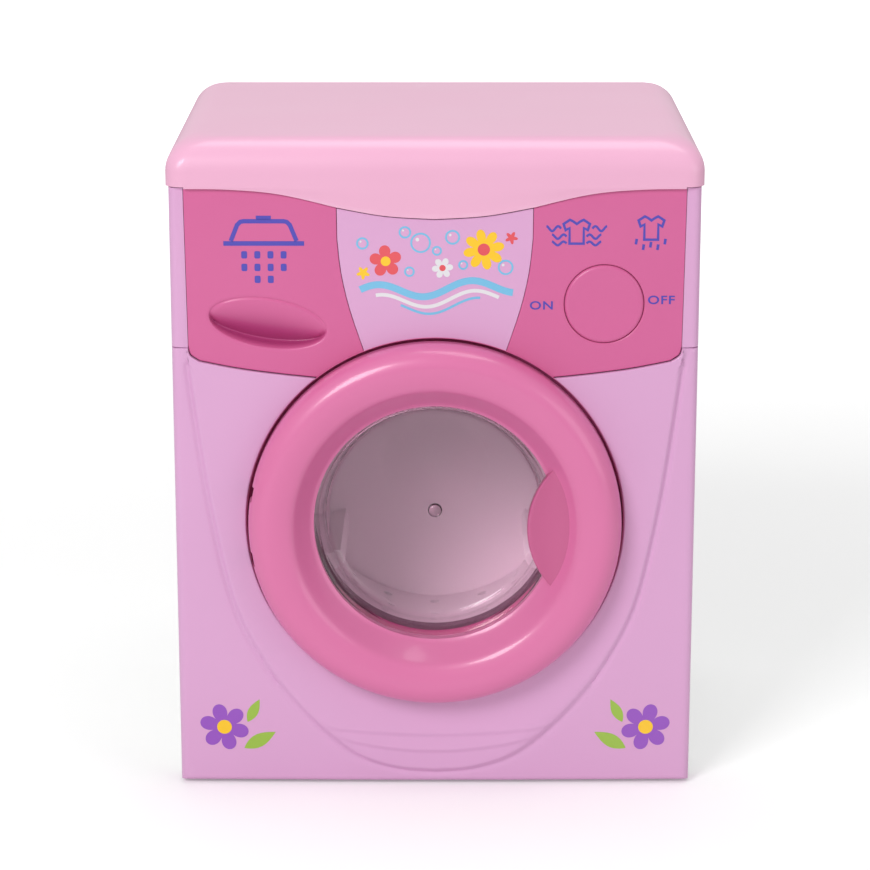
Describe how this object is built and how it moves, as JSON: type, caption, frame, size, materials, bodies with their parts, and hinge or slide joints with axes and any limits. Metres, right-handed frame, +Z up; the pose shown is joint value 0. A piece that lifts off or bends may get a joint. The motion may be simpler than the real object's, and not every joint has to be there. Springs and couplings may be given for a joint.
{
  "type": "toy washing machine",
  "caption": "Toy front-loading washing machine with a hinged round door, a water drawer, a push button, a battery-driven drum and a drain hose stowed in its back.",
  "frame": {"origin": "on the floor, under the middle of the machine's bounding box", "axes": "+Z up; the front with the door faces -Y; +X to the right as seen from the front"},
  "size_m": [0.172, 0.138, 0.218],
  "materials": {
    "shell_pink": "light pink moulded plastic, glossy",
    "panel_pink": "dark pink moulded plastic, glossy",
    "door_pink": "dark pink moulded plastic, polished",
    "white_plastic": "white moulded plastic, satin",
    "clear_plastic": "clear moulded plastic, faint pink-grey tint",
    "drum_plastic": "pinkish grey moulded plastic",
    "soft_rubber": "soft moulded rubber",
    "hose_pvc": "soft dark red hose",
    "steel": "plain steel",
    "bush_brass": "turned brass",
    "cell_wrap": "plain cell sleeve"
  },
  "bodies": {
    "root": {"top_cap": "shell_pink", "fascia": "shell_pink", "front_shell": "shell_pink", "cabinet": "white_plastic", "base_plate": "white_plastic", "back_panel": "white_plastic", "control_panel": "panel_pink", "button_spring": "steel", "switch_body": "white_plastic", "drawer_guide": "white_plastic", "door_seat": "panel_pink", "hinge_bracket": "panel_pink", "latch_catch": "white_plastic", "tub_seal": "soft_rubber", "tub": "white_plastic", "shaft_bush": "bush_brass", "shaft_seal": "soft_rubber", "idler_axle": "steel", "motor": "steel", "gearbox_base": "white_plastic", "gearbox_cover": "white_plastic", "gearbox_screws": "steel", "battery_box": "white_plastic", "batteries": "cell_wrap", "battery_contacts": "steel", "battery_door": "white_plastic", "battery_door_screw": "steel", "drain_pipe": "white_plastic", "drain_hose": "hose_pvc", "hose_plug": "door_pink", "hose_socket": "panel_pink", "back_emblem": "panel_pink", "back_screws": "steel"},
    "door": {"door_frame": "door_pink", "door_handle": "door_pink", "door_liner": "door_pink", "door_window": "clear_plastic", "door_latch": "door_pink", "hinge_pin": "steel", "liner_screws": "steel"},
    "drawer": {"drawer_front": "panel_pink", "drawer_tray": "panel_pink"},
    "button": {"power_button": "panel_pink", "switch_plunger": "white_plastic"},
    "drum": {"drum": "drum_plastic", "drum_shaft": "steel", "drum_gear": "white_plastic"},
    "idler": {"idler_gear": "panel_pink"},
    "rotor": {"motor_pinion": "bush_brass", "motor_shaft": "steel"}
  },
  "joints": [
    {"name": "door_hinge", "type": "hinge", "parent": "root", "child": "door", "pos_m": [-0.054, -0.0615, 0.092], "axis": [0, 0, -1], "range_deg": [0, 95]},
    {"name": "drawer_slide", "type": "slide", "parent": "root", "child": "drawer", "axis": [0, -1, 0], "range_m": [0, 0.024]},
    {"name": "button_press", "type": "slide", "parent": "root", "child": "button", "axis": [0, 1, 0], "range_m": [0, 0.003], "stiffness_N_per_m": 300, "springref_m": -0.003},
    {"name": "drum_spin", "type": "hinge", "parent": "root", "child": "drum", "pos_m": [0, 0, 0.092], "axis": [0, 1, 0], "continuous": true},
    {"name": "idler_spin", "type": "hinge", "parent": "root", "child": "idler", "pos_m": [0.02165, 0, 0.0795], "axis": [0, 1, 0], "continuous": true},
    {"name": "rotor_spin", "type": "hinge", "parent": "root", "child": "rotor", "pos_m": [0.03165, 0, 0.06218], "axis": [0, 1, 0], "continuous": true}
  ],
  "couplings": [
    {"joint": "idler_spin", "follows": "drum_spin", "ratio": -4},
    {"joint": "rotor_spin", "follows": "drum_spin", "ratio": 12}
  ]
}
